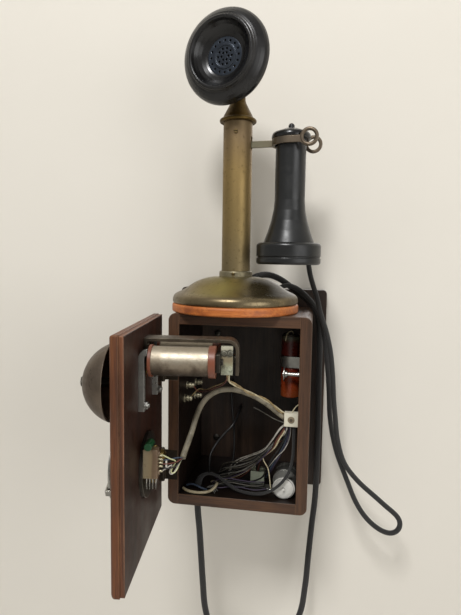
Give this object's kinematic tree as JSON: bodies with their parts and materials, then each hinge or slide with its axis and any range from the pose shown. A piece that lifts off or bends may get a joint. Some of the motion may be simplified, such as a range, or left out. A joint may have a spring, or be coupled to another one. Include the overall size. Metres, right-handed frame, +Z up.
{
  "type": "wall telephone",
  "caption": "Wall telephone: a pedestal set with hook-hung receiver on a wooden bell box whose hinged door carries gongs, ringer and rotary dial",
  "frame": {"origin": "on the wall plane, behind the middle of the box, at the centre of the four wall screws", "axes": "+X to the viewer's right along the wall, +Y into the wall, +Z up"},
  "size_m": [0.3163, 0.2926, 0.7477],
  "materials": {
    "dark_wood": "very dark stained board",
    "box_wood": "dark reddish brown varnished wood",
    "inner_wood": "dark unfinished inner face",
    "ring_wood": "orange brown polished wood",
    "old_brass": "aged brass with brown and green patina",
    "bright_brass": "handled brass",
    "hinge_brass": "dull brass",
    "bronze": "tarnished bronze",
    "black_gloss": "polished black moulding",
    "black_rubber": "matte black",
    "black_cord": "black braided covering",
    "grey_cable": "grey cable sheath",
    "wire_cover": "mixed wire coverings",
    "coil_paper": "dark red lacquered paper",
    "steel": "plain steel",
    "can_white": "white painted can",
    "cream_plastic": "cream moulding",
    "pale_green": "pale green moulding",
    "gong_metal": "dull grey-brown bell metal",
    "dark_iron": "dark grey iron",
    "silver_foil": "silver foil wrapping",
    "red_fibre": "red-brown fibre",
    "nickel": "worn nickel",
    "plate_white": "white enamel",
    "green_capsule": "green lacquer"
  },
  "bodies": {
    "stand_and_box": {"back_board": "dark_wood", "case_left": "box_wood", "case_right": "box_wood", "case_top": "box_wood", "case_bottom": "box_wood", "case_hinges": "hinge_brass", "wooden_ring": "ring_wood", "stand_screws": "bright_brass", "stand_base": "old_brass", "column_collar": "old_brass", "column_tube": "old_brass", "column_cap": "old_brass", "tilt_bolt": "bright_brass", "hook_pin": "bright_brass", "cord_bushes": "black_rubber", "induction_coil": "coil_paper", "clamp_straps": "steel", "capacitor": "can_white", "tie_mount": "cream_plastic", "terminal_block": "pale_green", "wall_terminals": "bright_brass", "stand_cord": "black_cord", "receiver_cord": "black_cord", "dial_cable": "grey_cable", "ringer_wires": "wire_cover", "case_wiring": "wire_cover"},
    "door": {"door_panel": "box_wood", "door_backing": "inner_wood", "door_hinges": "hinge_brass", "left_gong": "gong_metal", "right_gong": "gong_metal", "gong_posts": "steel", "gong_brackets": "steel", "ringer_bracket": "dark_iron", "ringer_coils": "silver_foil", "coil_cheeks": "red_fibre", "ringer_yoke": "dark_iron", "terminal_plate": "cream_plastic", "armature_pivot": "steel", "dial_case": "nickel", "number_plate": "plate_white", "finger_stop": "steel", "contact_block": "cream_plastic", "contact_springs": "steel", "spark_capsule": "green_capsule"},
    "armature": {"armature": "steel", "clapper": "bright_brass"},
    "dial": {"finger_wheel": "nickel", "wheel_cap": "nickel", "dial_shaft": "bright_brass"},
    "governor": {"governor": "bright_brass"},
    "hook": {"switch_hook": "bronze"},
    "receiver": {"receiver_shell": "black_gloss", "ear_cap": "black_gloss", "receiver_top": "black_gloss"},
    "transmitter": {"transmitter_back": "old_brass", "mouthpiece": "black_gloss", "grille": "black_gloss"}
  },
  "joints": [
    {"name": "door_hinge", "type": "hinge", "parent": "stand_and_box", "child": "door", "pos_m": [-0.0835, -0.12925, 0], "axis": [0, 0, -1], "range_deg": [-83.7, 86.3], "deforming": ["dial_cable", "ringer_wires"]},
    {"name": "armature_pivot", "type": "hinge", "parent": "door", "child": "armature", "pos_m": [-0.07042, -0.21131, 0.076], "axis": [0, 0, 1], "range_deg": [-4, 4], "stiffness_Nm_per_rad": 0.05},
    {"name": "dial_turn", "type": "hinge", "parent": "door", "child": "dial", "pos_m": [-0.07439, -0.21175, -0.028], "axis": [0.994, 0.1097, 0], "range_deg": [0, 316], "stiffness_Nm_per_rad": 0.004, "springref_deg": -85.94},
    {"name": "governor_turn", "type": "hinge", "parent": "door", "child": "governor", "pos_m": [-0.07677, -0.19018, -0.028], "axis": [0.994, 0.1097, 0], "range_deg": [-1085, 2]},
    {"name": "receiver_lift", "type": "slide", "parent": "stand_and_box", "child": "receiver", "axis": [0.4177, -0.0439, 0.9075], "range_m": [0, 0.08], "deforming": ["receiver_cord"]},
    {"name": "hook_rise", "type": "hinge", "parent": "stand_and_box", "child": "hook", "pos_m": [-0.011, -0.0849, 0.294], "axis": [-0.1045, -0.9945, 0], "range_deg": [0, 8]},
    {"name": "transmitter_tilt", "type": "hinge", "parent": "stand_and_box", "child": "transmitter", "pos_m": [-0.011, -0.0849, 0.3645], "axis": [-0.9613, 0.2756, 0], "range_deg": [-10, 30]}
  ],
  "couplings": [
    {"joint": "governor_turn", "follows": "dial_turn", "ratio": -3.4286},
    {"joint": "hook_rise", "follows": "receiver_lift", "rad_per_m": 1.7453}
  ]
}
